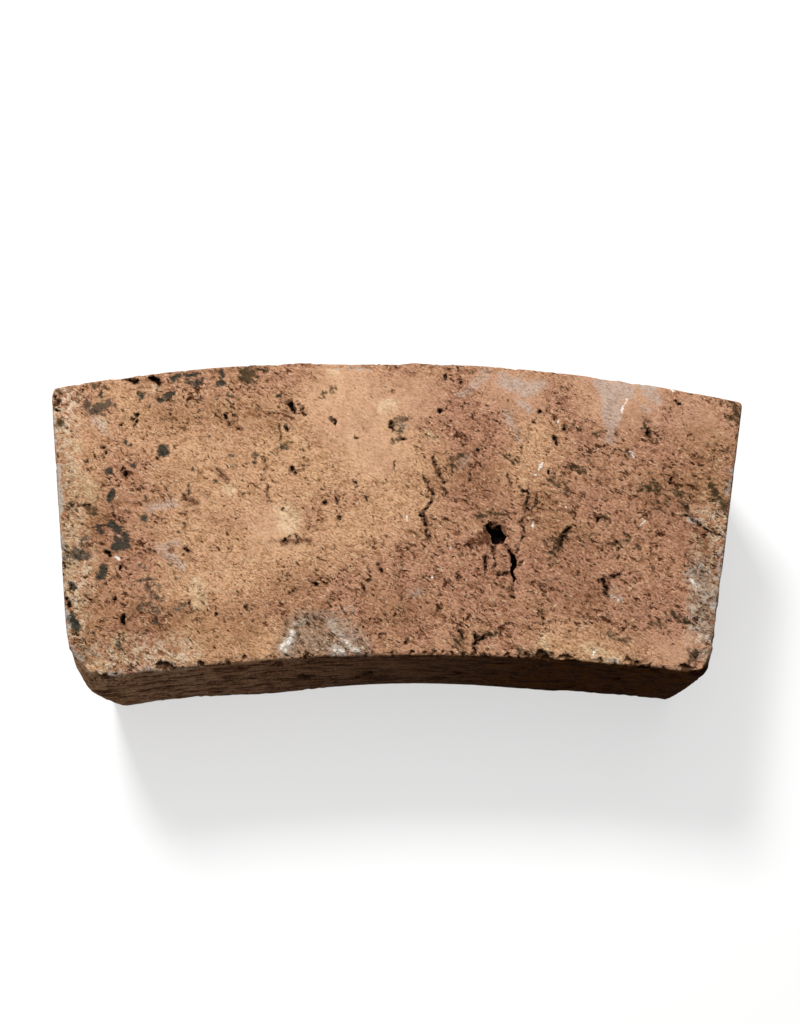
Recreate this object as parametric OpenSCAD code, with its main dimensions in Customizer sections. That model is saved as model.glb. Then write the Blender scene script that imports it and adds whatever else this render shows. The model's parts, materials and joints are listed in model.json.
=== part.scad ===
// Curved clay brick for a round wall, such as a well or a chimney.
// It lies on its bed: +Z up, +Y towards the convex face, origin under the middle of its box.

/* [Brick] */
// Straight distance between the two ends of the convex face
outer_chord = 235; // [160:1:320]
// Distance from the convex face to the concave face on the centre line
depth = 102.5; // [70:0.5:150]
// Distance between the two bed faces
height = 65; // [40:1:100]

/* [Curve] */
// Radius of the convex face
outer_radius = 580; // [400:5:1200]
// Radius of the concave face
inner_radius = 680; // [400:5:1200]
// Angle at which each end leans towards the concave face, so that the bricks make a ring
end_lean = 8.8; // [4:0.1:16]

/* [Wear] */
// Radius worn on the top and bottom arrises
arris_radius = 1.6; // [0.5:0.1:4]
// Radius worn on the left upright corner of the convex face
outer_left_corner = 4; // [1:0.5:15]
// Radius worn on the right upright corner of the convex face
outer_right_corner = 2.5; // [1:0.5:15]
// Radius worn on the left upright corner of the concave face
inner_left_corner = 6; // [1:0.5:20]
// Radius worn on the right upright corner of the concave face
inner_right_corner = 4; // [1:0.5:20]

/* [Blow hole] */
// Place of the blow hole to the right of the centre line
hole_x = 34.5; // [-70:0.5:70]
// Place of the blow hole towards the convex face
hole_y = -6.5; // [-25:0.5:25]
// Width of the mouth of the blow hole
hole_width = 7; // [3:0.1:12]
// Depth of the blow hole below the top bed
hole_depth = 10; // [6:0.5:20]
// How far the crack runs from the blow hole towards the concave face
crack_length = 21; // [10:1:28]
// Width of that crack where it is widest
crack_width = 1.6; // [0.6:0.1:3]
// Depth of that crack below the top bed
crack_depth = 3; // [1:0.5:8]

/* [Hidden] */
clay = [0.68, 0.52, 0.40];

// Facets in each quarter turn of worn edge
wear_steps = 6;
// How far a cutter reaches past the face that it cuts
over = 2;
// How far the cutters of upright corners reach, so that their faces stay clear of the other cutters
upright_over = 3;
$fn = 256;

// The plan is drawn about the centre of the convex face
half_angle = asin(outer_chord / 2 / outer_radius);
outer_centre = [0, 0];
inner_centre = [0, outer_radius - depth - inner_radius];
// The right end runs from the outer corner along end_line, and end_normal points out of it
outer_corner = outer_radius * [sin(half_angle), cos(half_angle)];
end_line = [sin(end_lean), cos(end_lean)];
end_normal = [cos(end_lean), -sin(end_lean)];
inner_corner = inner_round(0);
end_length = norm(outer_corner - inner_corner);
// How far the clay goes on past the ends before they are cut
end_spare = 20;
// The middle of the box, from the most forward corner to the back of the convex face, is the origin
box_middle = (inner_corner.y + outer_radius) / 2;

// Path of the crack from the middle of the blow hole, as shares of its length, and of its width there
crack_path = [
    [0.05, -0.05, 0.5], [0.19, -0.24, 0.6], [0.26, -0.36, 1], [0.29, -0.5, 0.9],
    [0.24, -0.62, 0.6], [0.29, -0.74, 0.5], [0.24, -0.86, 0.4], [0.26, -1, 0.2]];

// Centre of a round on a right upright corner: tucked against the end, at a reach from a face's centre
function tucked(r, centre, reach) =
    let (w = outer_corner - r * end_normal - centre)
    let (b = w * end_line)
    outer_corner - r * end_normal - (b - sqrt(b * b - w * w + reach * reach)) * end_line;
function outer_round(r) = tucked(r, outer_centre, outer_radius - r);
function inner_round(r) = tucked(r, inner_centre, inner_radius + r);

function bearing(v) = atan2(v.y, v.x);
function unit(v) = v / norm(v);

// Arc about a centre, from one bearing to another
function arc(centre, r, from, to) =
    [for (i = [0:wear_steps])
        let (a = from + (to - from) * i / wear_steps)
        centre + r * [cos(a), sin(a)]];

// The points of an arc, with its first or last chord carried on past the face that it meets
function past_start(p) = concat([2 * p[0] - p[1]], [for (i = [1:wear_steps]) p[i]]);
function past_end(p) =
    concat([for (i = [0:wear_steps - 1]) p[i]], [2 * p[wear_steps] - p[wear_steps - 1]]);
function cutting_arc(centre, r, from, to) = past_end(past_start(arc(centre, r, from, to)));

// Section of the clay behind the convex face, its arrises worn, at its radius from the centre
module convex_section() {
    r = arris_radius;
    inside = min(norm(inner_corner), outer_radius - depth) - over;
    polygon(concat(
        [[inside, height], [inside, 0]],
        arc([outer_radius - r, r], r, -90, 0),
        arc([outer_radius - r, height - r], r, 0, 90)));
}

// Section of the round that shapes the concave face and its worn arrises
module concave_section() {
    r = arris_radius;
    polygon(concat(
        [[0, height + over], [0, -over], [inner_radius + r + over, -over]],
        past_start(arc([inner_radius + r, r], r, 270, 180)),
        past_end(arc([inner_radius + r, height - r], r, 180, 90)),
        [[inner_radius + r + over, height + over]]));
}

// The clay between the two curved faces, a little longer than the brick
module curved_block() {
    spare_angle = asin((outer_chord / 2 + end_spare) / outer_radius);
    difference() {
        rotate(90 - spare_angle) rotate_extrude(angle = 2 * spare_angle) convex_section();
        translate(inner_centre) rotate_extrude() concave_section();
    }
}

// A section drawn outwards from the right end and upwards, run along the end and past both its corners
module along_end() {
    translate(outer_corner)
        rotate(-end_lean)
        translate([0, end_spare, 0])
        rotate([90, 0, 0])
        linear_extrude(end_length + 2 * end_spare) children();
}

// What is cut off past the right end
module end_cut() {
    along_end() translate([0, -over]) square([2 * end_spare, height + 2 * over]);
}

// What wear took from the right end's top arris
module end_arris_cut() {
    r = arris_radius;
    along_end()
        translate([0, height])
        polygon(concat(cutting_arc([-r, -r], r, 0, 90), [[-r, over], [over, over], [over, -r]]));
}

// What wear took from one right upright corner: its round's centre, radius and the face beside the end
module upright_cut(centre, r, face_normal) {
    reach = r + upright_over;
    translate([0, 0, -upright_over])
        linear_extrude(height + 2 * upright_over)
        polygon(concat(
            cutting_arc(centre, r, bearing(end_normal), bearing(face_normal)),
            [centre + reach * face_normal,
             centre + reach * (face_normal + end_normal),
             centre + reach * end_normal]));
}

// All that is cut from the right end: the end face and the wear on both upright corners
module end_cuts(outer_corner_radius, inner_corner_radius) {
    outer_c = outer_round(outer_corner_radius);
    inner_c = inner_round(inner_corner_radius);
    end_cut();
    end_arris_cut();
    translate([0, 0, height]) mirror([0, 0, 1]) end_arris_cut();
    upright_cut(outer_c, outer_corner_radius, unit(outer_c - outer_centre));
    upright_cut(inner_c, inner_corner_radius, unit(inner_centre - inner_c));
}

// Ragged void that opens in the top bed: a mouth, a side pocket and a throat below them
module blow_hole() {
    mouth = hole_width / 2;
    throat = mouth / 2;
    pocket = 0.7 * mouth;
    sphere(mouth);
    translate([-pocket, throat, -throat]) sphere(pocket);
    translate([throat, throat, throat - hole_depth]) {
        sphere(throat);
        cylinder(h = hole_depth - throat, r = throat);
    }
}

// Fire crack that runs from the blow hole towards the concave face
module fire_crack() {
    middle = [for (p = crack_path) crack_length * [p.x, p.y]];
    half_width = [for (p = crack_path) crack_width / 2 * p.z];
    last = len(crack_path) - 1;
    translate([0, 0, -crack_depth])
        linear_extrude(crack_depth + over)
        polygon(concat(
            [for (i = [0:last]) middle[i] - [half_width[i], 0]],
            [for (i = [last:-1:0]) middle[i] + [half_width[i], 0]]));
}

module brick() {
    color(clay)
        difference() {
            translate([0, -box_middle, 0])
                difference() {
                    curved_block();
                    end_cuts(outer_right_corner, inner_right_corner);
                    mirror([1, 0, 0]) end_cuts(outer_left_corner, inner_left_corner);
                }
            translate([hole_x, hole_y, height]) {
                blow_hole();
                fire_crack();
            }
        }
}

brick();
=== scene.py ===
import json
import math

import bpy
import numpy as np
from mathutils import Euler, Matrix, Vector

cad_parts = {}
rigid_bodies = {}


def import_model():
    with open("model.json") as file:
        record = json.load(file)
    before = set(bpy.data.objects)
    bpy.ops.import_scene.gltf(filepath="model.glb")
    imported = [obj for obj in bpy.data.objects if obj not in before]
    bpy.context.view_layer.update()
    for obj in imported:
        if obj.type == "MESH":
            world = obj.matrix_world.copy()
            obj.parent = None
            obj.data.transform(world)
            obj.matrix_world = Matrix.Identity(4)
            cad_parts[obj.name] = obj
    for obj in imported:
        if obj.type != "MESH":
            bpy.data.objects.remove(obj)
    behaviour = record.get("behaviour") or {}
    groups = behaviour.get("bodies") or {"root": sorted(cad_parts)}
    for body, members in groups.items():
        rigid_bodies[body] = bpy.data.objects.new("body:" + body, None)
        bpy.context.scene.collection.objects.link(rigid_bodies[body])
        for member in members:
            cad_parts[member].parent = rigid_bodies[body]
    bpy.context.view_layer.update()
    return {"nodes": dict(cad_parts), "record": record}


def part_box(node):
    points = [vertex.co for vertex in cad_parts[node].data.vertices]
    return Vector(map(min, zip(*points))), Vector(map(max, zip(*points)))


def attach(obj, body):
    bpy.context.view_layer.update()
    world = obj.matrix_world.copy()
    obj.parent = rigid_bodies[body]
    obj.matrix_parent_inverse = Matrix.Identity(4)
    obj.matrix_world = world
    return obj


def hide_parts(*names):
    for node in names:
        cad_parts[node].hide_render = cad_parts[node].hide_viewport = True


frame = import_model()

# Camera
# It looks down over the concave face, as someone who stands in front of the brick on the floor would.
# Each mark on the clay is placed by the pixel of its 800 by 1024 view where that mark shows.
MM = 0.001
VIEW_WIDTH = 800
VIEW_HEIGHT = 1024
FOCAL_PIXELS = 1320
SENSOR_MM = 36
CAMERA_PLACE = (10.3, -114.9, 485.8)
CAMERA_TILT = 15.4
CAMERA_YAW = 1.0
CAMERA_ROLL = 0.51

camera_angles = [math.radians(angle) for angle in (CAMERA_TILT, CAMERA_YAW, CAMERA_ROLL)]
camera_turn = Euler(camera_angles, "ZYX").to_matrix()
camera_data = bpy.data.cameras.new("camera")
camera_data.sensor_width = SENSOR_MM
camera_data.lens = SENSOR_MM * FOCAL_PIXELS / VIEW_HEIGHT
camera_data.clip_start = 0.01
camera = bpy.data.objects.new("camera", camera_data)
camera.location = Vector(CAMERA_PLACE) * MM
camera.rotation_euler = camera_turn.to_euler()
scene_objects = bpy.context.scene.collection.objects
scene_objects.link(camera)
bpy.context.scene.camera = camera
bpy.context.scene.view_settings.view_transform = "Standard"


def in_view(places):
    """Pixels of the view at which places in mm show, and how far they lie from the camera."""
    right, up, back = ((places - CAMERA_PLACE) @ np.array(camera_turn)).T
    across = VIEW_WIDTH / 2 - FOCAL_PIXELS * right / back
    down = VIEW_HEIGHT / 2 + FOCAL_PIXELS * up / back
    return np.stack([across, down], axis=1), -back


# Floor and lamps
# A plain pale studio floor under a white sky, with a broad softbox overhead, a smaller key lamp behind
# the brick, so that the relief of the top bed shows, and a weak fill lamp for the shaded concave face.
class Shade:
    """One socket of a node tree, so that shader maths reads as Python expressions."""

    def __init__(self, tree, socket=None):
        self.tree = tree
        self.socket = socket

    def node(self, kind, settings=None, inputs=None, output=0):
        """A new node of the tree: its settings are set first, then its sockets are set or linked."""
        made = self.tree.nodes.new("ShaderNode" + kind)
        for name, value in (settings or {}).items():
            setattr(made, name, value)
        for name, value in (inputs or {}).items():
            if isinstance(value, Shade):
                self.tree.links.new(value.socket, made.inputs[name])
            else:
                made.inputs[name].default_value = value
        return Shade(self.tree, made.outputs[output])

    def math(self, operation, first, second=0.0):
        return self.node("Math", {"operation": operation}, {0: first, 1: second})

    def __add__(self, other):
        return self.math("ADD", self, other)

    def __radd__(self, other):
        return self.math("ADD", other, self)

    def __sub__(self, other):
        return self.math("SUBTRACT", self, other)

    def __rsub__(self, other):
        return self.math("SUBTRACT", other, self)

    def __mul__(self, other):
        return self.math("MULTIPLY", self, other)

    def __rmul__(self, other):
        return self.math("MULTIPLY", other, self)

    def higher(self, other):
        return self.math("MAXIMUM", self, other)

    def absolute(self):
        return self.math("ABSOLUTE", self)

    def between(self, low, high):
        """A soft step from 0 at low to 1 at high."""
        return self.node("MapRange", {"interpolation_type": "SMOOTHSTEP"},
                         {"Value": self, "From Min": low, "From Max": high})

    def blend(self, first, second):
        """First colour where this value is 0, second where it is 1."""
        return self.node("Mix", {"data_type": "RGBA"}, {0: self, 6: first, 7: second}, 2)

    def tint(self, strength, colour):
        """This colour multiplied by another, as far as strength says."""
        return self.node("Mix", {"data_type": "RGBA", "blend_type": "MULTIPLY"},
                         {0: strength, 6: self, 7: colour}, 2)

    def scaled(self, sizes):
        """This vector with each of its parts multiplied."""
        return self.node("VectorMath", {"operation": "MULTIPLY"}, {0: self, 1: sizes})

    def noise(self, size, detail=2.0, rough=0.5):
        """Noise from 0 to 1 about this place in mm, with lumps of about one size in mm."""
        return self.node("TexNoise", None,
                         {"Vector": self, "Scale": 1 / size, "Detail": detail, "Roughness": rough})


def new_material(name):
    """An empty material and the Shade that adds its nodes."""
    material = bpy.data.materials.new(name)
    material.use_nodes = True
    material.node_tree.nodes.clear()
    return material, Shade(material.node_tree)


def surface(pen, shader, kind="OutputMaterial"):
    """Makes shader what the material or the world shows."""
    output = pen.tree.nodes.new("ShaderNode" + kind)
    pen.tree.links.new(shader.socket, output.inputs["Surface"])


def seen_directly(pen):
    """1 on rays from the camera, and on those that metal or glass would pass on, and 0 on all others."""
    seen = pen.node("LightPath", None, None, "Is Camera Ray")
    for ray in ("Is Glossy Ray", "Is Transmission Ray"):
        seen = seen.higher(pen.node("LightPath", None, None, ray))
    return seen


FLOOR_SIZE = 6.0
FLOOR_SHOWN = (0.97, 0.965, 0.96, 1)
FLOOR_BOUNCE = (0.22, 0.21, 0.20, 1)
FLOOR_PLAIN = 0.6
SKY_SHOWN = (1, 1, 1, 1)
SKY_LIGHT = (0.12, 0.122, 0.126, 1)

half = FLOOR_SIZE / 2
floor_mesh = bpy.data.meshes.new("floor")
floor_corners = [(-half, -half, 0), (half, -half, 0), (half, half, 0), (-half, half, 0)]
floor_mesh.from_pydata(floor_corners, [], [(0, 1, 2, 3)])
floor = bpy.data.objects.new("floor", floor_mesh)
scene_objects.link(floor)
floor_paint, pen = new_material("floor")
lit = pen.node("BsdfDiffuse", None, {"Color": seen_directly(pen).blend(FLOOR_BOUNCE, FLOOR_SHOWN)})
plain = pen.node("Emission", None, {"Color": FLOOR_SHOWN})
surface(pen, pen.node("MixShader", None, {0: seen_directly(pen) * FLOOR_PLAIN, 1: lit, 2: plain}))
floor_mesh.materials.append(floor_paint)

sky = bpy.data.worlds.new("sky")
sky.use_nodes = True
sky.node_tree.nodes.clear()
pen = Shade(sky.node_tree)
backdrop = pen.node("Background", None, {"Color": seen_directly(pen).blend(SKY_LIGHT, SKY_SHOWN)})
surface(pen, backdrop, "OutputWorld")
bpy.context.scene.world = sky


def area_lamp(name, place, size, watts):
    """A square lamp that faces the brick."""
    lamp_data = bpy.data.lights.new(name, "AREA")
    lamp_data.size = size
    lamp_data.energy = watts
    lamp = bpy.data.objects.new(name, lamp_data)
    lamp.location = place
    lamp.rotation_euler = (-Vector(place)).to_track_quat("-Z", "Y").to_euler()
    scene_objects.link(lamp)


area_lamp("softbox", (0.0, 0.35, 1.4), 1.2, 9.0)
area_lamp("key_lamp", (-0.35, 0.80, 1.05), 0.28, 19.0)
area_lamp("fill_lamp", (-0.50, -0.60, 0.25), 0.30, 1.1)

# Brick
# One curved brick of coarse fired clay, cut with a wire on its beds, with voids and fire cracks in it.
# Long use in a round wall has chipped its arrises and left soot, soil and bits of lime mortar on it.
VOXEL = 0.35
TRIANGLES = 190000
CONVEX_RADIUS = 580
CONCAVE_RADIUS = 680
OUTER_CHORD = 235
DEPTH = 102.5

block = bpy.data.objects.new("brick_block", frame["nodes"]["brick"].data.copy())
scene_objects.link(block)
voxels = block.modifiers.new("voxels", "REMESH")
voxels.mode = "VOXEL"
voxels.voxel_size = VOXEL * MM
fine_mesh = bpy.data.meshes.new_from_object(block.evaluated_get(bpy.context.evaluated_depsgraph_get()))
bpy.data.objects.remove(block)


def mesh_vectors(mesh, name):
    """Places or normals of a mesh's vertices."""
    values = np.empty(len(mesh.vertices) * 3)
    mesh.vertices.foreach_get(name, values)
    return values.reshape(-1, 3)


place = mesh_vectors(fine_mesh, "co") / MM
normal = mesh_vectors(fine_mesh, "normal")
brick_high = np.array(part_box("brick")[1]) / MM


def in_plan(ways):
    """Ways in x and y, with no rise."""
    return np.pad(ways, ((0, 0), (0, 1)))


# How far each point lies inside each face, which gives its distance from the nearest arris
convex_centre = np.array([0, brick_high[1] - CONVEX_RADIUS])
concave_centre = np.array([0, brick_high[1] - DEPTH - CONCAVE_RADIUS])
from_convex_centre = place[:, :2] - convex_centre
behind_convex = CONVEX_RADIUS - np.linalg.norm(from_convex_centre, axis=1)
from_concave_centre = place[:, :2] - concave_centre
behind_concave = np.linalg.norm(from_concave_centre, axis=1) - CONCAVE_RADIUS
face_gaps = [brick_high[2] - place[:, 2], place[:, 2], behind_convex, behind_concave]
face_ways = [
    np.array([0, 0, 1]), np.array([0, 0, -1]), in_plan(from_convex_centre), in_plan(-from_concave_centre)]
mounts = {mount["name"]: mount for mount in frame["record"]["mounts"]}
for end in ("left_end", "right_end"):
    face_ways.append(np.array(mounts[end]["axis"]))
    face_gaps.append((np.array(mounts[end]["pos_m"]) / MM - place) @ face_ways[-1])
to_arris = np.partition(np.abs(np.stack(face_gaps)), 1, axis=0)[1]

# The way out of the clay, which turns gently from one face to the next past their arris
ARRIS_REACH = 3.0


def unit(ways):
    """Ways of any length, made one mm long."""
    return ways / np.linalg.norm(ways, axis=-1, keepdims=True)


outward = unit(sum(
    np.exp(-np.abs(gap) / ARRIS_REACH)[:, None] * unit(way) for gap, way in zip(face_gaps, face_ways)))

# The brick left the kiln a little out of true: how far its arrises moved in x and y at the left,
# in the middle and at the right
CONVEX_WARP = np.array([(0.2, 0.9), (0.5, -0.6), (0.5, -2.4)])
CONCAVE_WARP = np.array([(-0.6, -1.7), (-0.7, 0.5), (0.0, 3.0)])
HALF_TURN = math.asin(OUTER_CHORD / 2 / CONVEX_RADIUS)
turn = np.arctan2(from_convex_centre[:, 0], from_convex_centre[:, 1]) / HALF_TURN


def warp(moves):
    """Moves along an arris, on a smooth curve through its left, middle and right ones."""
    left, middle, right = moves
    return middle + np.outer(turn, right - left) / 2 + np.outer(turn ** 2, (left + right) / 2 - middle)


to_back = np.clip(behind_concave / (behind_concave + behind_convex), 0, 1)[:, None]
place[:, :2] += to_back * warp(CONVEX_WARP) + (1 - to_back) * warp(CONCAVE_WARP)


def rise(low, high, values):
    """A soft step from 0 at low to 1 at high."""
    part = np.clip((values - low) / (high - low), 0, 1)
    return part * part * (3 - 2 * part)


# The clay has slumped outwards at the upright corners of the concave face, the left one is worn back at its
# top, and the foot of the face bulges forward on both sides of the middle
SLUMP_REACH = 14
WEAR_REACH = 9
BULGE_REACH = 0.26
level = np.clip(place[:, 2] / brick_high[2], 0, 1)
for slump, wear, corner, way in (
        (1.2, 2.4, (-102.4, -54.6), (-0.6, -0.8)), (0.6, 0, (102.8, -54.6), (0.6, -0.8))):
    corner_gap = np.linalg.norm(place[:, :2] - corner, axis=1)
    slumped = slump * np.sin(math.pi * level) ** 0.8 * np.exp(-(corner_gap / SLUMP_REACH) ** 2)
    worn = wear * rise(0.52, 0.95, level) * np.exp(-(corner_gap / WEAR_REACH) ** 2)
    place[:, :2] += np.outer(slumped - worn, way)
for bulge, middle in ((1.7, -0.46), (1.0, 0.58)):
    bulged = bulge * (1 - level) * np.exp(-((turn - middle) / BULGE_REACH) ** 2)
    place[:, 1] -= bulged * (1 - to_back[:, 0]) ** 4

# What the camera sees of the block, on which the marks are placed
facing = np.flatnonzero(((CAMERA_PLACE - place) * normal).sum(axis=1) > 0)
facing_place = place[facing]
facing_pixels, facing_depth = in_view(facing_place)
SIGHT_RADIUS = 2.0
SIGHT_DEPTH = 4.0


def seen_at(pixel):
    """Place on the block that a pixel of the view shows."""
    miss = np.linalg.norm(facing_pixels - pixel, axis=1)
    near = np.flatnonzero(miss < max(SIGHT_RADIUS, miss.min() + 0.1))
    near = near[facing_depth[near] < facing_depth[near].min() + SIGHT_DEPTH]
    return facing_place[near[np.argmin(miss[near])]]


def strokes(*marks):
    """Marks, each a half width in mm and the pixels that it runs through, laid on the block."""
    return [(half_width, np.array([seen_at(pixel) for pixel in pixels])) for half_width, *pixels in marks]


def inside(places, laid, margin=2.0):
    """How many mm places lie inside the edge of the nearest mark, no less than -margin."""
    depth = np.full(len(places), -margin)
    for half_width, points in laid:
        reach = half_width + margin
        boxed = ((places > points.min(axis=0) - reach) & (places < points.max(axis=0) + reach)).all(axis=1)
        near = np.flatnonzero(boxed)
        gap = np.full(len(near), np.inf)
        for start, stop in zip(points, points[1:] if len(points) > 1 else points):
            run = stop - start
            part = np.clip((places[near] - start) @ run / max(run @ run, 1e-9), 0, 1)
            gap = np.minimum(gap, np.linalg.norm(places[near] - start - part[:, None] * run, axis=1))
        depth[near] = np.maximum(depth[near], half_width - gap)
    return depth


# Voids that the wire tore open, from the left end to the right
voids = strokes(
    (0.9, (136, 414)), (0.7, (133, 419)), (0.7, (138, 421)), (0.5, (135, 425)), (0.6, (120, 425)),
    (0.7, (103, 447)), (0.8, (106, 452)), (0.6, (103, 456)), (1.0, (126, 474)), (0.6, (122, 470)),
    (1.2, (151, 377), (158, 381)), (0.8, (125, 378), (137, 381)), (0.5, (225, 415), (227, 418)),
    (0.7, (229, 424)), (0.8, (238, 429)), (0.9, (291, 404), (294, 410)), (0.5, (303, 407), (304, 414)),
    (0.7, (287, 429)), (0.6, (291, 466), (294, 474)), (0.6, (331, 418), (335, 422)),
    (0.5, (354, 437), (357, 438)), (0.4, (393, 462), (394, 467)), (0.4, (354, 480), (358, 489)),
    (0.4, (366, 496), (367, 502)), (0.5, (335, 496), (337, 504)), (1.0, (326, 503)), (0.7, (340, 518)),
    (0.5, (282, 510)), (0.9, (286, 540)), (0.5, (283, 542)), (0.4, (289, 537)),
    (0.3, (297, 533), (298, 540), (295, 545)), (1.0, (316, 584)), (0.7, (247, 608)), (0.8, (381, 570)),
    (0.6, (378, 563)), (0.7, (380, 635)), (0.5, (407, 638), (406, 643)),
    (0.5, (391, 421), (390, 426), (394, 430)), (0.8, (403, 439)), (0.6, (394, 391)),
    (0.6, (445, 375), (445, 379)), (1.0, (441, 411)), (0.5, (447, 408)), (0.5, (462, 382)),
    (0.5, (474, 414)), (0.9, (539, 411)), (0.6, (522, 446)), (0.6, (555, 436), (557, 444)),
    (0.7, (565, 428)), (0.6, (617, 434)), (0.7, (549, 472)), (0.6, (478, 450)), (0.8, (598, 520)),
    (0.8, (616, 543)), (0.6, (645, 516)), (0.6, (672, 478), (670, 484)), (0.5, (677, 401), (681, 403)),
    (0.7, (648, 430), (649, 435)), (0.8, (485, 557), (485, 562)), (0.5, (485, 562), (485, 570)),
    (0.9, (123, 617), (123, 623)), (0.7, (115, 600)), (0.4, (149, 549), (156, 554)), (0.8, (121, 567)),
    (0.7, (218, 614)), (0.7, (603, 579), (606, 590)), (0.7, (478, 640), (484, 638)),
    (0.6, (475, 634), (475, 652)), (0.5, (457, 628), (464, 638)), (0.6, (105, 551), (110, 556)),
    (0.5, (186, 549), (189, 552)), (0.8, (70, 587)), (0.7, (62, 560), (64, 568)),
    (0.7, (66, 600), (68, 606)), (0.6, (77, 497)), (0.6, (170, 497)), (0.5, (53, 409), (58, 410)),
    (1.6, (494, 530), (497, 537)), (1.2, (491, 540), (501, 540)), (0.7, (491, 523), (493, 527)))

# Fire cracks, some of them torn wide
cracks = strokes(
    (0.5, (503, 543), (509, 549), (513, 557), (514, 565)), (0.8, (513, 558), (514, 566)),
    (0.45, (514, 565), (511, 572), (515, 580), (511, 588), (513, 597)),
    (0.4, (491, 545), (494, 553), (496, 562), (494, 568)), (0.6, (499, 575), (508, 573)),
    (0.35, (530, 503), (522, 520), (524, 535), (519, 546), (516, 552)), (0.35, (522, 561), (519, 566)),
    (0.3, (503, 588), (511, 588)), (0.4, (434, 492), (430, 503), (425, 511)), (0.9, (423, 516)),
    (0.45, (424, 518), (426, 528), (427, 538)), (0.35, (433, 457), (440, 474), (444, 484)),
    (0.3, (470, 473), (471, 480)), (0.35, (441, 487), (447, 492), (443, 498)),
    (0.3, (422, 473), (430, 487), (437, 497)), (0.2, (263, 457), (267, 466), (262, 472), (262, 480)),
    (0.2, (268, 483), (266, 492), (269, 500), (271, 504)), (0.3, (278, 424), (281, 432), (279, 440)),
    (0.3, (298, 400), (301, 408)), (0.3, (508, 473), (512, 485)),
    (0.45, (520, 487), (528, 492), (527, 508), (531, 511)), (0.4, (531, 511), (536, 503), (537, 495)),
    (0.3, (540, 580), (541, 588)), (0.3, (540, 605), (543, 612), (544, 620)), (0.3, (458, 572), (458, 580)),
    (0.3, (437, 565), (437, 570)), (0.4, (478, 637), (492, 634)), (0.3, (368, 565), (370, 580)),
    (0.5, (685, 515), (697, 522), (707, 530), (722, 536)), (0.4, (607, 579), (617, 576), (620, 572)),
    (0.4, (606, 590), (608, 597)), (0.6, (562, 536), (567, 530), (570, 527)), (0.5, (558, 550), (563, 538)),
    (0.3, (112, 508), (114, 516), (124, 522)), (0.3, (190, 600), (191, 611)),
    (0.35, (66, 510), (74, 504), (90, 505)))

# Bits broken off the arrises: the front one, the upright corners at its ends, and the back one
chips = strokes(
    (0.7, (412, 653)), (0.6, (434, 653)), (0.8, (463, 654)), (0.7, (486, 655)), (0.6, (496, 655)),
    (0.9, (507, 656)), (0.7, (526, 657)), (0.6, (650, 665)), (0.8, (663, 668)), (0.7, (228, 662)),
    (0.8, (245, 659)), (0.6, (306, 656)), (0.7, (372, 653)), (0.6, (392, 653)),
    (1.1, (96, 676), (105, 677)), (0.7, (116, 675)), (0.6, (131, 669)), (1.4, (160, 665), (172, 669)),
    (0.7, (183, 669)), (0.8, (201, 663), (203, 667)), (0.6, (207, 666)), (0.6, (272, 656)),
    (0.8, (287, 657)), (0.7, (425, 653)), (0.6, (443, 653)), (0.6, (452, 654)), (0.9, (475, 653)),
    (0.6, (518, 656)), (0.6, (535, 658)), (1.8, (541, 655), (547, 660)), (0.8, (552, 655)),
    (0.8, (561, 658), (570, 659)), (0.7, (600, 661)), (0.6, (615, 663)), (0.8, (629, 659)),
    (0.7, (636, 664)), (1.3, (684, 667), (692, 671)), (1.5, (56, 402)), (0.6, (186, 370)),
    (0.9, (247, 366)), (0.6, (289, 364)), (0.6, (413, 363)), (0.7, (424, 364)), (0.7, (505, 367)),
    (0.7, (539, 371)), (0.6, (691, 393)))

# Top corners worn round where the concave face meets the ends, and a shallow spall on the back arris
worn_round = strokes(
    (8.0, (80, 669)), (6.0, (705, 666)), (3.0, (324, 363), (355, 365), (396, 363)),
    (3.4, (340, 364), (376, 364)))

# Voids in the concave face
front_voids = strokes(
    (2.2, (301, 675), (302, 679)), (2.4, (307, 676), (307, 679)), (1.8, (314, 675), (314, 678)),
    (2.0, (357, 678), (361, 677)), (2.4, (365, 674), (366, 677)), (2.4, (371, 672), (371, 676)),
    (1.8, (376, 672)), (1.6, (246, 678), (250, 679)), (1.4, (270, 680)), (1.2, (279, 678), (282, 680)),
    (1.2, (268, 684), (272, 685)), (1.2, (367, 665), (372, 664)), (1.2, (329, 663)),
    (1.6, (207, 684), (216, 684)), (1.6, (218, 682), (228, 681)), (1.3, (231, 681), (240, 680)),
    (1.8, (168, 687), (178, 687)), (1.7, (101, 693), (108, 692)), (2.2, (520, 667), (526, 668)),
    (1.7, (530, 668), (538, 669)), (1.3, (443, 668), (452, 671)), (1.3, (455, 671), (466, 673)),
    (1.0, (482, 668), (494, 670)), (1.2, (476, 681), (481, 682)), (1.2, (591, 687), (606, 684)),
    (1.0, (562, 678), (572, 680)), (1.2, (402, 674)), (1.0, (150, 684)))

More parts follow.
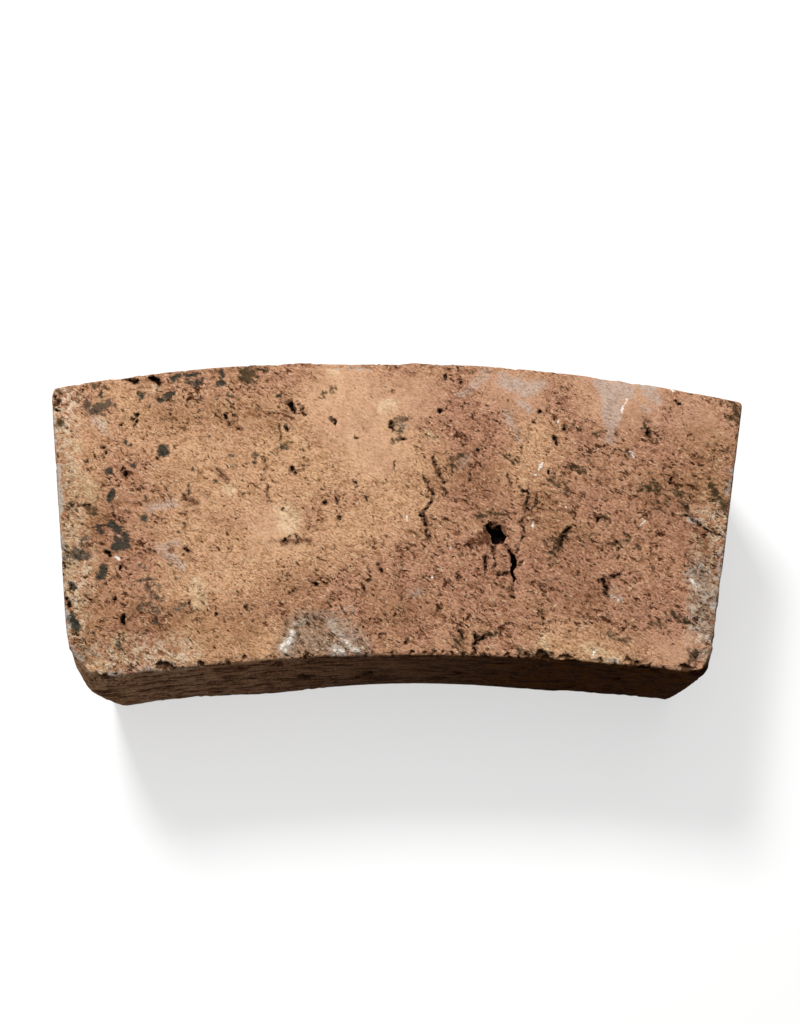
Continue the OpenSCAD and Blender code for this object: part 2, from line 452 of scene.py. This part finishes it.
# Iron in the clay, which melted into charcoal spots
iron = strokes(
    (1.5, (104, 568), (101, 577)), (2.15, (163.5, 451)), (1.4, (109, 471)), (1.1, (133.5, 466)),
    (1.1, (112, 492), (109, 500)), (1.25, (145, 518)), (0.6, (145, 497)), (1.4, (110, 524), (117, 529)),
    (1.0, (116, 536), (118, 541)), (1.2, (124, 535), (126, 541)), (1.6, (115, 547), (125, 545)),
    (0.9, (98, 524), (100, 531)), (0.7, (88, 461)), (0.8, (125, 442)), (0.6, (130, 445)), (0.8, (192, 469)),
    (0.5, (188, 484), (189, 494)), (1.0, (186, 375), (196, 374)), (0.8, (197, 382), (203, 380)),
    (1.3, (221, 383)), (0.9, (220, 371), (222, 376)), (1.1, (166, 396), (172, 393)),
    (1.1, (160, 401), (163, 400)), (0.8, (139, 393), (141, 398)), (1.1, (173, 379), (178, 375)),
    (0.9, (101, 394)), (0.6, (116, 406)), (0.8, (230, 395)), (0.8, (217, 399)), (0.9, (232, 455)),
    (0.7, (254, 462)), (0.8, (215, 481)), (1.1, (70, 584), (74, 588)), (1.3, (70, 618), (76, 628)),
    (0.8, (184, 525)), (0.6, (178, 533)), (0.6, (165, 518)), (0.9, (279, 396)), (0.8, (288, 403)),
    (0.7, (286, 427)))

# Fainter iron, and smoke from the kiln
smoke = strokes(
    (1.3, (190, 381), (197, 384)), (1.3, (200, 399)), (1.2, (178, 408)), (1.4, (88, 405)),
    (1.4, (100, 403), (104, 408)), (1.0, (105, 414)), (0.9, (141, 582), (153, 579)),
    (0.8, (156, 585), (160, 586)), (0.6, (168, 589)), (0.9, (175, 578)), (0.7, (138, 563), (142, 568)),
    (0.9, (168, 565)), (0.8, (170, 550)), (0.8, (143, 599), (150, 597)), (0.9, (163, 598)),
    (1.3, (158, 622)), (0.8, (185, 615)), (1.0, (182, 604), (176, 608)), (1.3, (140, 608)),
    (0.8, (206, 640), (215, 639)), (0.6, (211, 646)), (0.9, (119, 643), (122, 649)),
    (1.3, (73, 553), (88, 553)), (0.9, (79, 602)), (1.2, (254, 455)), (1.2, (232, 465)),
    (1.0, (84, 541), (84, 550)), (1.6, (95, 410), (110, 404)), (1.0, (148, 590), (156, 594)),
    (1.3, (146, 604), (160, 609)), (1.2, (278, 450), (286, 446)))

# Soil and soot that stay in the rough of the bed
soil = strokes(
    (2.6, (244, 372), (248, 380)), (1.2, (240, 369), (262, 370)), (1.0, (502, 455), (522, 461)),
    (1.1, (551, 482), (567, 485), (569, 493)), (1.1, (482, 515), (502, 512)), (1.5, (566, 532), (553, 556)),
    (1.1, (546, 540), (556, 541)), (1.0, (270, 451), (288, 444)), (1.3, (455, 457), (464, 454)),
    (1.0, (449, 464), (456, 466)), (1.2, (573, 468), (583, 469)), (1.0, (588, 458)),
    (1.4, (645, 487), (660, 487)), (1.3, (655, 507), (668, 503)), (1.6, (711, 485), (716, 498), (722, 510)),
    (1.3, (677, 492), (686, 512)), (1.6, (670, 613), (684, 622)), (1.0, (658, 622)),
    (1.0, (606, 636), (628, 640)), (1.6, (392, 424), (403, 419)), (1.2, (400, 430), (394, 440)),
    (1.0, (322, 391), (333, 387)), (0.8, (321, 392), (322, 396)), (1.4, (615, 543), (625, 540)),
    (1.0, (640, 545)), (0.9, (597, 517), (606, 521)), (1.5, (735, 405), (733, 418)),
    (1.2, (92, 385), (103, 388)), (1.3, (58, 420), (63, 425)), (1.3, (67, 505), (75, 510)),
    (1.4, (88, 507), (95, 512)), (1.4, (70, 617), (76, 630)), (1.0, (63, 545), (66, 553)),
    (1.2, (455, 636), (462, 650)), (1.0, (478, 638), (494, 634)), (1.2, (516, 650), (528, 652)),
    (1.0, (690, 662), (697, 668)), (1.0, (692, 657), (698, 652)), (1.0, (627, 452)), (0.9, (566, 427)),
    (0.9, (575, 424)), (0.9, (593, 436), (601, 430)), (0.7, (647, 420), (649, 436)))

# Smears and crusts of old lime mortar, and the white flecks of lime in the clay
lime = strokes(
    (3.4, (603, 386), (612, 400), (611, 420)), (3.0, (618, 388), (628, 390)), (1.6, (611, 420), (610, 440)),
    (2.2, (650, 392), (657, 400)), (1.0, (645, 410), (650, 410)), (1.2, (458, 393), (486, 376)),
    (1.2, (480, 369), (488, 371)), (3.0, (505, 380), (520, 384)), (2.4, (525, 390), (540, 384)),
    (1.4, (523, 402), (530, 408)), (1.5, (507, 412), (513, 420)), (1.0, (515, 425), (521, 440)),
    (1.0, (640, 372), (655, 382)), (1.8, (150, 508), (172, 503)), (1.6, (165, 555), (182, 565)),
    (1.4, (160, 548), (180, 545)), (1.2, (413, 592), (420, 590)), (1.6, (94, 420), (104, 428)),
    (1.0, (462, 463), (466, 456)), (1.0, (399, 424), (402, 428)))
veil = strokes(
    (3.6, (289, 648), (295, 634)), (2.4, (300, 622), (318, 621)), (2.4, (330, 622), (350, 636), (362, 650)),
    (2.6, (310, 640), (340, 648)), (3.0, (700, 570), (705, 600)), (2.4, (700, 612), (704, 632)))
crust = strokes(
    (1.7, (284, 648), (290, 634)), (1.0, (296, 624), (303, 620)), (0.9, (331, 621), (337, 632), (342, 640)),
    (1.5, (331, 651), (342, 653)), (1.1, (346, 644), (358, 650)), (0.9, (346, 611), (349, 612)),
    (0.5, (692, 610), (693, 620), (697, 630)), (0.4, (697, 634), (708, 637)), (0.8, (691, 580), (698, 588)),
    (0.7, (690, 572), (702, 562)), (0.6, (704, 596), (712, 604)), (0.2, (613, 596), (614, 590), (621, 590)),
    (0.2, (615, 597), (628, 596)), (0.9, (610, 660), (616, 662)), (0.8, (686, 517), (696, 522)))
flecks = strokes(
    (0.35, (537, 470), (544, 462)), (0.5, (535, 474)), (0.35, (533, 522), (534, 528)), (0.35, (489, 482)),
    (0.5, (440, 557)), (0.35, (450, 548)), (0.35, (432, 578)), (0.35, (470, 625)),
    (0.35, (407, 516), (407, 521)), (0.35, (558, 418), (559, 424)), (0.45, (115, 557), (119, 560)),
    (0.4, (136, 421)), (0.3, (150, 388)), (0.7, (283, 645)), (0.6, (288, 657)), (0.6, (335, 650)),
    (0.5, (350, 645)), (0.35, (628, 397), (622, 412)), (0.4, (612, 440)), (0.5, (668, 388), (673, 391)),
    (0.35, (631, 452), (634, 456)), (0.3, (565, 508)), (0.3, (641, 525), (645, 521)),
    (0.4, (691, 578), (695, 586)), (0.4, (593, 655), (597, 650)), (0.4, (591, 659)), (0.3, (697, 626)),
    (0.3, (160, 700), (164, 701)))

# Pale sandy clay, and the yellower streaks at the left end and on the front arris
cream = strokes(
    (2.6, (284, 512), (293, 522)), (1.8, (281, 526), (290, 530)), (2.0, (75, 445)),
    (2.2, (88, 480), (92, 500)), (2.2, (66, 545), (70, 575)), (2.0, (72, 590), (78, 600)),
    (1.6, (98, 420), (106, 428)), (1.6, (544, 636), (546, 652)), (1.6, (597, 657), (618, 661)),
    (0.7, (146, 386), (155, 390)), (1.8, (587, 648), (598, 652)), (1.4, (330, 368), (335, 371)),
    (2.0, (155, 389)), (1.5, (76, 400)), (1.6, (72, 475), (78, 470)), (1.6, (226, 487), (232, 490)),
    (2.2, (196, 582), (200, 604)), (1.6, (383, 407), (394, 403)), (1.2, (430, 433), (435, 436)),
    (1.8, (160, 662), (170, 660)), (1.6, (120, 636), (116, 645)), (1.4, (98, 664), (101, 672)),
    (1.6, (70, 525), (68, 535)))

# Arrises scuffed by handling, and painted paler as a highlight where they are rounded
scuffs_and_highlights = strokes(
    (1.0, (53, 420), (55, 445)), (1.3, (57, 465), (59, 510)), (0.9, (61, 530), (62, 560)),
    (0.9, (66, 612), (68, 635)), (0.8, (70, 645), (76, 662)), (0.6, (106, 675), (118, 673)),
    (0.6, (134, 672), (148, 671)), (0.6, (177, 669), (186, 668)), (0.6, (732, 470), (729, 500)),
    (0.6, (720, 555), (716, 605)), (0.6, (335, 366), (375, 366)), (0.6, (640, 386), (655, 388)))

# Dark red where the clay is burnt round voids and cracks
burnt = strokes(
    (1.7, (470, 543), (487, 541)), (1.5, (480, 535), (489, 533)), (1.6, (491, 536), (502, 540)),
    (0.35, (262, 458), (266, 470), (262, 480)), (0.35, (267, 484), (270, 504)),
    (0.8, (268, 543), (312, 543)), (0.9, (430, 458), (440, 474)), (0.7, (423, 512), (427, 538)),
    (1.0, (184, 497), (196, 503)), (0.8, (127, 378), (136, 381)), (0.9, (125, 472), (130, 476)),
    (0.8, (487, 415), (495, 418)), (1.0, (596, 518), (606, 521)), (0.8, (500, 575), (512, 572)),
    (0.9, (628, 656), (632, 662)), (0.7, (160, 668), (172, 671)), (0.7, (98, 679), (106, 680)),
    (1.0, (690, 648), (697, 655)), (0.8, (220, 472), (228, 480)), (0.8, (205, 496), (212, 492)))

# Broad changes of colour over the bed, and where it is rubbed smooth
rubbed = strokes(
    (11, (345, 395), (375, 440)), (7, (398, 405), (415, 398)), (8, (605, 395), (640, 400)),
    (4, (690, 415), (705, 425)), (3.5, (668, 655), (692, 656)), (5, (268, 528), (280, 532)),
    (5, (500, 390), (525, 395)))
sandy = strokes(
    (8, (190, 455), (240, 458), (285, 452)), (8, (320, 405), (340, 390)),
    (10, (215, 485), (265, 485), (310, 470)), (9, (350, 530), (400, 500)), (6, (190, 530), (240, 545)),
    (5, (262, 562), (302, 545)), (8, (190, 590), (235, 580)), (6, (350, 455), (370, 480)),
    (5, (395, 442), (425, 470)), (6, (190, 635), (260, 645)), (5, (560, 645), (600, 652)),
    (5, (75, 430), (78, 510)), (5, (118, 392), (140, 432)), (5, (520, 475), (540, 440)))
red = strokes(
    (9, (460, 385), (485, 395)), (11, (470, 440), (480, 490)), (11, (450, 575), (510, 590)),
    (13, (550, 570), (590, 590), (640, 600)), (8, (580, 455), (610, 475)), (8, (640, 430), (650, 460)),
    (5, (125, 465), (130, 490)), (10, (600, 500), (660, 520)), (7, (400, 560), (420, 600)))
grimy = strokes(
    (7, (660, 490), (710, 485)), (7, (95, 618), (160, 624), (240, 630)), (7, (95, 638), (130, 645)),
    (5, (700, 440), (712, 460)), (5, (700, 545), (710, 560)), (5, (385, 612), (415, 605)),
    (6, (60, 450), (62, 560)), (5, (545, 505), (570, 540)), (3, (155, 416), (215, 416), (262, 416)),
    (4, (282, 595), (300, 588)), (3, (295, 625), (310, 618)), (6, (462, 475), (488, 488)),
    (4, (575, 588), (588, 596)), (5, (95, 500), (98, 545)))
# Weathered arrises and corners, paler partly as a painted highlight where they catch the light
weathered_and_highlighted = strokes(
    (4.5, (56, 400), (62, 520), (70, 640)), (4, (90, 660), (180, 655)), (4, (712, 520), (708, 640)),
    (2.2, (80, 560), (75, 600)))

# Lumps of clay, and the ragged edges that they give to marks
LUMP_TABLE = 65537
LUMP_STRIDES = np.array([1, 263, 70657])


def lumps(places, size, seed):
    """Smooth noise from -1 to 1 at places in mm, with lumps of about one size in mm."""
    table = np.random.default_rng(seed).uniform(-1, 1, LUMP_TABLE)
    grid = places / size
    corner = np.floor(grid).astype(np.int64)
    part = grid - corner
    part = part * part * (3 - 2 * part)
    total = np.zeros(len(places))
    for step in np.ndindex(2, 2, 2):
        weight = np.where(step, part, 1 - part).prod(axis=1)
        total += weight * table[((corner + step) * LUMP_STRIDES).sum(axis=1) % LUMP_TABLE]
    return total


def wandered(places, amount, size, seed):
    """Places moved about by noise, so that marks looked up there have ragged edges."""
    return places + amount * np.stack([lumps(places, size, seed + axis) for axis in range(3)], axis=1)


def torn_edges(places):
    """Places moved about a little, for marks with a broken edge."""
    return wandered(wandered(places, 0.55, 1.5, 21), 0.3, 0.6, 51)


def loose_edges(places):
    """Places moved about far, for stains and crusts."""
    return wandered(wandered(places, 1.1, 4.0, 31), 0.6, 1.4, 41)


# Relief: the wire dragged the clay into low scales that run to the right and forward
DRAG_ANGLE = math.radians(-28)
VOID_DEPTH = 2.6
FRONT_VOID_DEPTH = 3.0
CHIP_DEPTH = 2.8
WEAR_DEPTH = 4.5
CRUST_HEIGHT = 0.3
drag_x, drag_y = math.cos(DRAG_ANGLE), math.sin(DRAG_ANGLE)
drag = np.array([(drag_x, -drag_y), (drag_y, drag_x)])
home = place.copy()
torn_home = torn_edges(home)
loose_home = loose_edges(home)
dragged = np.hstack([home[:, :2] @ drag, home[:, 2:]])
bed = rise(0.55, 0.85, np.abs(normal[:, 2]))
ragged = lumps(home, 1.3, 11) + 0.5 * lumps(home, 0.6, 12)
smooth = 1.2 * rise(-6, 4, inside(home, rubbed, 8))
smooth = np.maximum(smooth, rise(-8, 8, inside(home, sandy, 8)))
scales = lumps(dragged, (3.4, 1.1, 1.1), 3) + 0.7 * lumps(dragged, (1.7, 0.7, 0.7), 4)
pocks = rise(0.35, 0.75, lumps(dragged, (2.4, 0.9, 0.9), 8))
pocks += 0.7 * rise(0.4, 0.8, lumps(dragged, (1.4, 0.6, 0.6), 9))
hollow_depth = np.maximum(inside(torn_home, voids), inside(torn_home, cracks)) + 0.15 * ragged
chip_depth = inside(torn_home, chips) + 0.2 + 0.5 * ragged
front_depth = inside(torn_home, front_voids, 3) + 0.5 * ragged
crust_depth = inside(loose_home, crust) + 0.6 * ragged
open_voids = rise(0.60, 0.85, lumps(home * (1, 1, 1.7), 4.5, 14)) * (1 - bed)

torn = bed * (1.25 - 0.75 * smooth)
scale_depth = torn * (0.08 * scales + 0.4 * pocks)
side_lumps = 0.10 * lumps(home, (7, 7, 2.6), 15) + 0.14 * lumps(home, 1.5, 16)
scale_depth += (1 - bed) * (side_lumps + 1.6 * open_voids)
sunk = scale_depth + 0.22 * lumps(home, 24, 5)
sunk += 0.5 * rise(3.5, 0.4, to_arris) * rise(0.05, 0.9, lumps(home, 4.5, 6) + 0.5 * lumps(home, 1.8, 7))
sunk += np.clip(2.2 * hollow_depth, 0, VOID_DEPTH)
broken = np.clip(1.5 * chip_depth, 0, CHIP_DEPTH)
worn_depth = 0.55 * inside(home, worn_round) + 0.2 * ragged
broken = np.maximum(broken, np.clip(worn_depth, 0, WEAR_DEPTH))
sunk = np.maximum(sunk, np.clip(1.1 * front_depth, 0, FRONT_VOID_DEPTH))
sunk -= np.clip(0.5 * crust_depth, 0, CRUST_HEIGHT) * (0.6 + 0.5 * ragged)

# The blow hole and its crack are ragged, and clay hangs into the mouth from its left and its back
HOLE_PIXEL = (496, 534)
CRACK_REACH = 26
HOLE_REACH = 7
HOLE_FLOOR = 12
OVERHANG = 1.8
hole_middle = seen_at(HOLE_PIXEL)
hole_gap = np.linalg.norm(home[:, :2] - hole_middle[:2], axis=1)
hole_level = brick_high[2] - home[:, 2]
in_crack = (hole_gap < CRACK_REACH) & (hole_level > 0.3) & (hole_level < HOLE_FLOOR)
in_hole = in_crack & (hole_gap < HOLE_REACH)
overhang = rise(0.3, 0.9, normal[:, 0]) + rise(0.5, 0.95, normal[:, :2] @ (-0.75, -0.65))
overhang = np.clip(overhang, 0, 1) * in_hole * rise(6, 3, hole_level)
sunk += in_crack * (0.45 * lumps(home, 2.6, 61) + 0.3 * ragged) - OVERHANG * overhang
place -= normal * sunk[:, None] + outward * broken[:, None]
place[:, 2] = np.maximum(place[:, 2], 0)
fine_mesh.vertices.foreach_set("co", (place * MM).ravel())
concave_side = rise(7, 3, behind_concave) * rise(0.7, 0.4, normal[:, 2])
for name, values in (
        ("concave_side", concave_side), ("scale_depth", scale_depth),
        ("hole", np.where(in_crack, hole_level - 2.5 * overhang, 0))):
    fine_mesh.attributes.new(name, "FLOAT", "POINT").data.foreach_set("value", values)
fine_mesh.attributes.new("home", "FLOAT_VECTOR", "POINT").data.foreach_set("vector", home.ravel())

# The dense block is thinned to the triangle budget, least where the marks need fine edges
dense = bpy.data.objects.new("brick_dense", fine_mesh)
scene_objects.link(dense)
spare = dense.vertex_groups.new(name="spare")
kept = np.maximum(np.maximum(hollow_depth, chip_depth), inside(torn_home, flecks)) > -0.35
kept |= np.abs(inside(torn_home, iron)) < 0.5
top = normal[:, 2] > 0.5
for amount, chosen in ((0.5, top & ~kept), (0.85, ~top & ~kept)):
    spare.add([int(i) for i in np.flatnonzero(chosen)], amount, "REPLACE")
thin = dense.modifiers.new("thin", "DECIMATE")
thin.vertex_group = "spare"
thin.use_collapse_triangulate = True
thin.ratio = TRIANGLES / (2 * len(fine_mesh.polygons))
brick_mesh = bpy.data.meshes.new_from_object(dense.evaluated_get(bpy.context.evaluated_depsgraph_get()))
bpy.data.objects.remove(dense)
brick_mesh.shade_smooth()
settled = mesh_vectors(brick_mesh, "co")
settled[:, 2] = np.maximum(settled[:, 2], 0)
brick_mesh.vertices.foreach_set("co", settled.ravel())
brick = bpy.data.objects.new("brick_clay", brick_mesh)
scene_objects.link(brick)

# What the material needs to know of the marks at each point
home = np.empty(len(brick_mesh.vertices) * 3)
brick_mesh.attributes["home"].data.foreach_get("vector", home)
home = home.reshape(-1, 3)
brick_mesh.attributes.remove(brick_mesh.attributes["home"])
torn_home = torn_edges(home)
loose_home = loose_edges(home)
in_hollow = np.maximum(inside(torn_home, voids), inside(torn_home, cracks))
for name, values in (
        ("hollow", in_hollow), ("front_void", inside(torn_home, front_voids, 3)),
        ("chip", inside(torn_home, chips)), ("iron", inside(torn_home, iron)),
        ("smoke", inside(loose_home, smoke)), ("scuff_and_highlight", inside(torn_home, scuffs_and_highlights)),
        ("rubbed", inside(home, rubbed, 9)),
        ("soil", inside(loose_home, soil)), ("lime", inside(loose_home, lime)),
        ("veil", inside(loose_home, veil, 4)), ("crust", inside(loose_home, crust)),
        ("fleck", inside(torn_home, flecks)), ("cream", inside(loose_home, cream)),
        ("burnt", inside(loose_home, burnt)), ("sandy", inside(home, sandy, 10)),
        ("red", inside(home, red, 10)),
        ("grimy", inside(loose_home, grimy, 8)), ("weathered_and_highlighted", inside(loose_home, weathered_and_highlighted, 6))):
    brick_mesh.attributes.new(name, "FLOAT", "POINT").data.foreach_set("value", values)

# Colours of the clay and of what lies on it, of painted shade in its voids, chips, pits and concave face,
# and of painted highlight on its arrises; tints multiply what is under them
BUFF = (0.53, 0.305, 0.174, 1)
SANDY = (0.645, 0.392, 0.217, 1)
RED = (0.447, 0.228, 0.144, 1)
GRIME = (0.66, 0.60, 0.52, 1)
CREAM = (0.70, 0.52, 0.33, 1)
BLEACHED_AND_HIGHLIGHT = (0.74, 0.60, 0.45, 1)
LIME = (0.47, 0.355, 0.295, 1)
VEIL = (0.33, 0.255, 0.20, 1)
MORTAR = (0.55, 0.47, 0.39, 1)
WHITE_LIME = (0.80, 0.74, 0.65, 1)
IRON = (0.036, 0.034, 0.026, 1)
RUBBED = (0.585, 0.373, 0.248, 1)
SCUFF_AND_HIGHLIGHT = (0.40, 0.36, 0.32, 1)
SOIL = (0.048, 0.032, 0.015, 1)
BURNT = (0.10, 0.033, 0.016, 1)
TORN_CLAY_AND_SHADE = (0.065, 0.028, 0.013, 1)
VOID_SHADE = (0.006, 0.003, 0.002, 1)
DASH_AND_PIT_SHADE = (0.20, 0.12, 0.075, 1)
STREAK_AND_PIT_SHADE = (0.56, 0.47, 0.39, 1)
# Painted shade of the concave face, at its left end and at its right
SHADED_LEFT = (0.98, 1.0, 0.98, 1)
SHADED_RIGHT = (0.125, 0.07, 0.01, 1)
SLIT = (0.20, 0.13, 0.08, 1)
SWAY_SIZE = 3.5
SWAY = (1.8, 1.8, 1.8)
DASH_TURN = math.radians(36)
BUMP_DEPTH = 1.1 * MM

clay, pen = new_material("fired_clay")
here = pen.node("TexCoord", None, None, "Object").scaled((1 / MM, 1 / MM, 1 / MM))
sway = pen.node("TexNoise", None, {"Vector": here, "Scale": 1 / SWAY_SIZE, "Detail": 2.0}, "Color")
bent = pen.node("VectorMath", {"operation": "MULTIPLY_ADD"}, {0: sway, 1: SWAY, 2: here})
turned = pen.node("VectorRotate", {"rotation_type": "Z_AXIS"}, {"Vector": bent, "Angle": DASH_TURN})
# Noise that the colours and the bump share
grain = here.noise(0.5, 3, 0.6)
blotch = here.noise(5, 4, 0.6)
cluster = here.noise(6.5, 3, 0.6) - 0.5
mottle = here.noise(2.2, 3, 0.6)
patches = here.noise(2.6, 2, 0.55)
broad_marks = turned.scaled((0.5, 1, 0.7)).noise(1.15, 3, 0.6)
scale_marks = turned.scaled((0.38, 1, 0.7)).noise(0.42, 1, 0.5)
light_marks = turned.scaled((0.45, 1, 0.7)).noise(0.75, 1, 0.5)
pit_marks = bent.scaled((0.75, 1, 1)).noise(2.1, 3, 0.6)
specks = bent.noise(0.85, 1, 0.5)
rag = bent.noise(1.0, 1, 0.5)


def attribute(name):
    """A value that the mesh carries at each point."""
    return pen.node("Attribute", {"attribute_name": name}, None, "Fac")


def mark(name, low, high, wander=0.5, dashed=0.0, patchy=0.0):
    """Cover of the marks of one name, their edges ragged, from 0 at low to 1 at high mm inside them."""
    depth = attribute(name) + (grain - 0.5) * wander + (rag - 0.5) * (1.5 * wander)
    if dashed:
        depth = depth + (broad_marks - 0.5) * dashed
    if patchy:
        depth = depth + (patches - 0.5) * patchy
    return depth.between(low, high)


# Colour, from the clay outwards: its own tones, stains and lime, weathering with painted highlight, dashes
# with painted shade in their pits, crusts and iron, then painted shade on the concave face, scuffs with
# painted highlight, and painted shade in chips and voids
clay_tone = (here.noise(22, 3) + blotch * 0.5).between(0.45, 1.05)
colour = clay_tone.blend(RED, BUFF)
colour = (attribute("red").between(-9, 6) * (0.35 + blotch * 0.5)).blend(colour, RED)
colour = (attribute("sandy").between(-9, 6) * (0.35 + blotch * 0.5)).blend(colour, SANDY)
weathered_and_highlighted = attribute("weathered_and_highlighted").between(-5, 2)
rubbed_smooth = attribute("rubbed").between(-7, 4)
colour = (rubbed_smooth * (0.05 + blotch * 0.35)).blend(colour, RUBBED)
colour = (mark("cream", -1.4, 1.6, 1.6, 3.0) * 0.7).blend(colour, CREAM)
# Paler on the weathered arrises, partly weathering and partly painted highlight
colour = (weathered_and_highlighted * patches.between(0.42, 0.58) * 0.7).blend(colour, BLEACHED_AND_HIGHLIGHT)
colour = (mark("lime", -1.2, 1.6, 1.2, 2.0) * 0.8).blend(colour, LIME)
colour = (mark("veil", -2.5, 1.5, 1.5, 3.0) * 0.75).blend(colour, VEIL)
colour = (mark("burnt", -0.8, 0.8, 0.9, 2.0) * 0.9).blend(colour, BURNT)
grime = attribute("grimy").between(-7, 5) * 0.6 + here.noise(9, 3).between(0.5, 0.75) * 0.4
colour = colour.tint(grime, GRIME)
colour = colour.tint(mottle.between(0.46, 0.66) * (0.7 - rubbed_smooth * 0.3), GRIME)
clean = attribute("sandy").between(-9, 6) * 0.05 + attribute("lime").between(-2, 1) * 0.08
tearing = cluster * 0.45 - (clean + rubbed_smooth * 0.10)
colour = (light_marks.between(0.58, 0.74) * (0.5 - rubbed_smooth * 0.3)).blend(colour, CREAM)
streaks = (scale_marks + tearing * 0.2).between(0.44, 0.68)
cuts = (broad_marks + tearing).between(0.56, 0.70)
dots = (specks + tearing).between(0.68, 0.74)
pits = (pit_marks + tearing * 0.6).between(0.66, 0.74)
colour = colour.tint(streaks * (0.95 - rubbed_smooth * 0.35), STREAK_AND_PIT_SHADE)
# Dark dashes, partly grain and partly painted shade in the little pits that the bump sinks at the same
# places
for dashes in (cuts, dots, pits):
    colour = colour.tint(dashes * 0.95, DASH_AND_PIT_SHADE)
# Painted shade: darker where the surface is sunk in pocks and in the concave face's open voids
colour = colour.tint(attribute("scale_depth").between(0.15, 0.5) * 0.7, STREAK_AND_PIT_SHADE)
colour = (mark("crust", -0.8, 1.0, 1.2, 0.0, 5.0) * 0.75).blend(colour, MORTAR)
colour = (mark("soil", -0.9, 1.2, 1.5, 8.0) * 0.9).blend(colour, SOIL)
colour = (mark("smoke", -0.7, 0.6, 1.4) * 0.8).blend(colour, IRON)
colour = (mark("iron", -0.45, 0.45, 1.0) * (0.8 + grain * 0.3)).blend(colour, IRON)
colour = (mark("crust", 0.9, 1.6, 2.0, 0.0, 5.0) * 0.85).blend(colour, WHITE_LIME)
colour = mark("fleck", -0.2, 0.25, 0.3).blend(colour, WHITE_LIME)
# Painted shade on the concave face: its colour is darkened, hardly at its left end and most at its right
shaded = attribute("concave_side")
along = pen.node("SeparateXYZ", None, {"Vector": here}, "X").between(-110, 62)
slits = here.scaled((0.3, 0.3, 0.8)).noise(2.2, 3, 0.65)
colour = colour.tint(shaded, along.blend(SHADED_LEFT, SHADED_RIGHT))
colour = colour.tint(shaded * slits.between(0.46, 0.62) * 0.95, SLIT)
# Pale grey on the arrises: partly scuffs, partly painted highlight
colour = (mark("scuff_and_highlight", -0.6, 0.6, 1.0, 0.0, 5.0) * 0.65).blend(colour, SCUFF_AND_HIGHLIGHT)
# Dark torn clay, partly painted shade, in chips, round the hollows and round the concave face's voids
colour = (mark("chip", -0.35, 0.35, 0.6) * 0.9).blend(colour, TORN_CLAY_AND_SHADE)
colour = (mark("hollow", -0.6, 0.2, 1.2) * 0.8).blend(colour, TORN_CLAY_AND_SHADE)
# Painted shade: the inside of the hollows is near black
colour = mark("hollow", 0.0, 0.4, 1.2).blend(colour, VOID_SHADE)
colour = (mark("front_void", -0.6, 0.6, 1.6) * 0.85).blend(colour, TORN_CLAY_AND_SHADE)
# Painted shade: the core of the concave face's voids is near black
colour = mark("front_void", 0.4, 1.6, 1.6).blend(colour, VOID_SHADE)
hole = attribute("hole")
hole_lip = hole.between(-2.0, 0.2) * hole.absolute().between(0.05, 0.3)
colour = (hole_lip * 0.85).blend(colour, BURNT)
# Painted shade: the blow hole is near black below its rim
colour = hole.between(0.2, 1.4).blend(colour, VOID_SHADE)

relief = broad_marks * -0.5 + scale_marks * -0.4 + specks * -0.3 + grain * 0.3
relief = (relief - cuts * 0.35 - dots * 0.25 - pits * 0.35) * (1 - rubbed_smooth * 0.4)
bump = pen.node("Bump", None, {"Strength": 1.0, "Distance": BUMP_DEPTH, "Height": relief})
rough = 0.86 + grain * 0.12 - mark("iron", -0.2, 0.5) * 0.25
surface(pen, pen.node("BsdfPrincipled", None, {
    "Base Color": colour, "Roughness": rough, "Specular IOR Level": 0.02, "Normal": bump}))
brick_mesh.materials.clear()
brick_mesh.materials.append(clay)

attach(brick, "root")
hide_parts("brick")
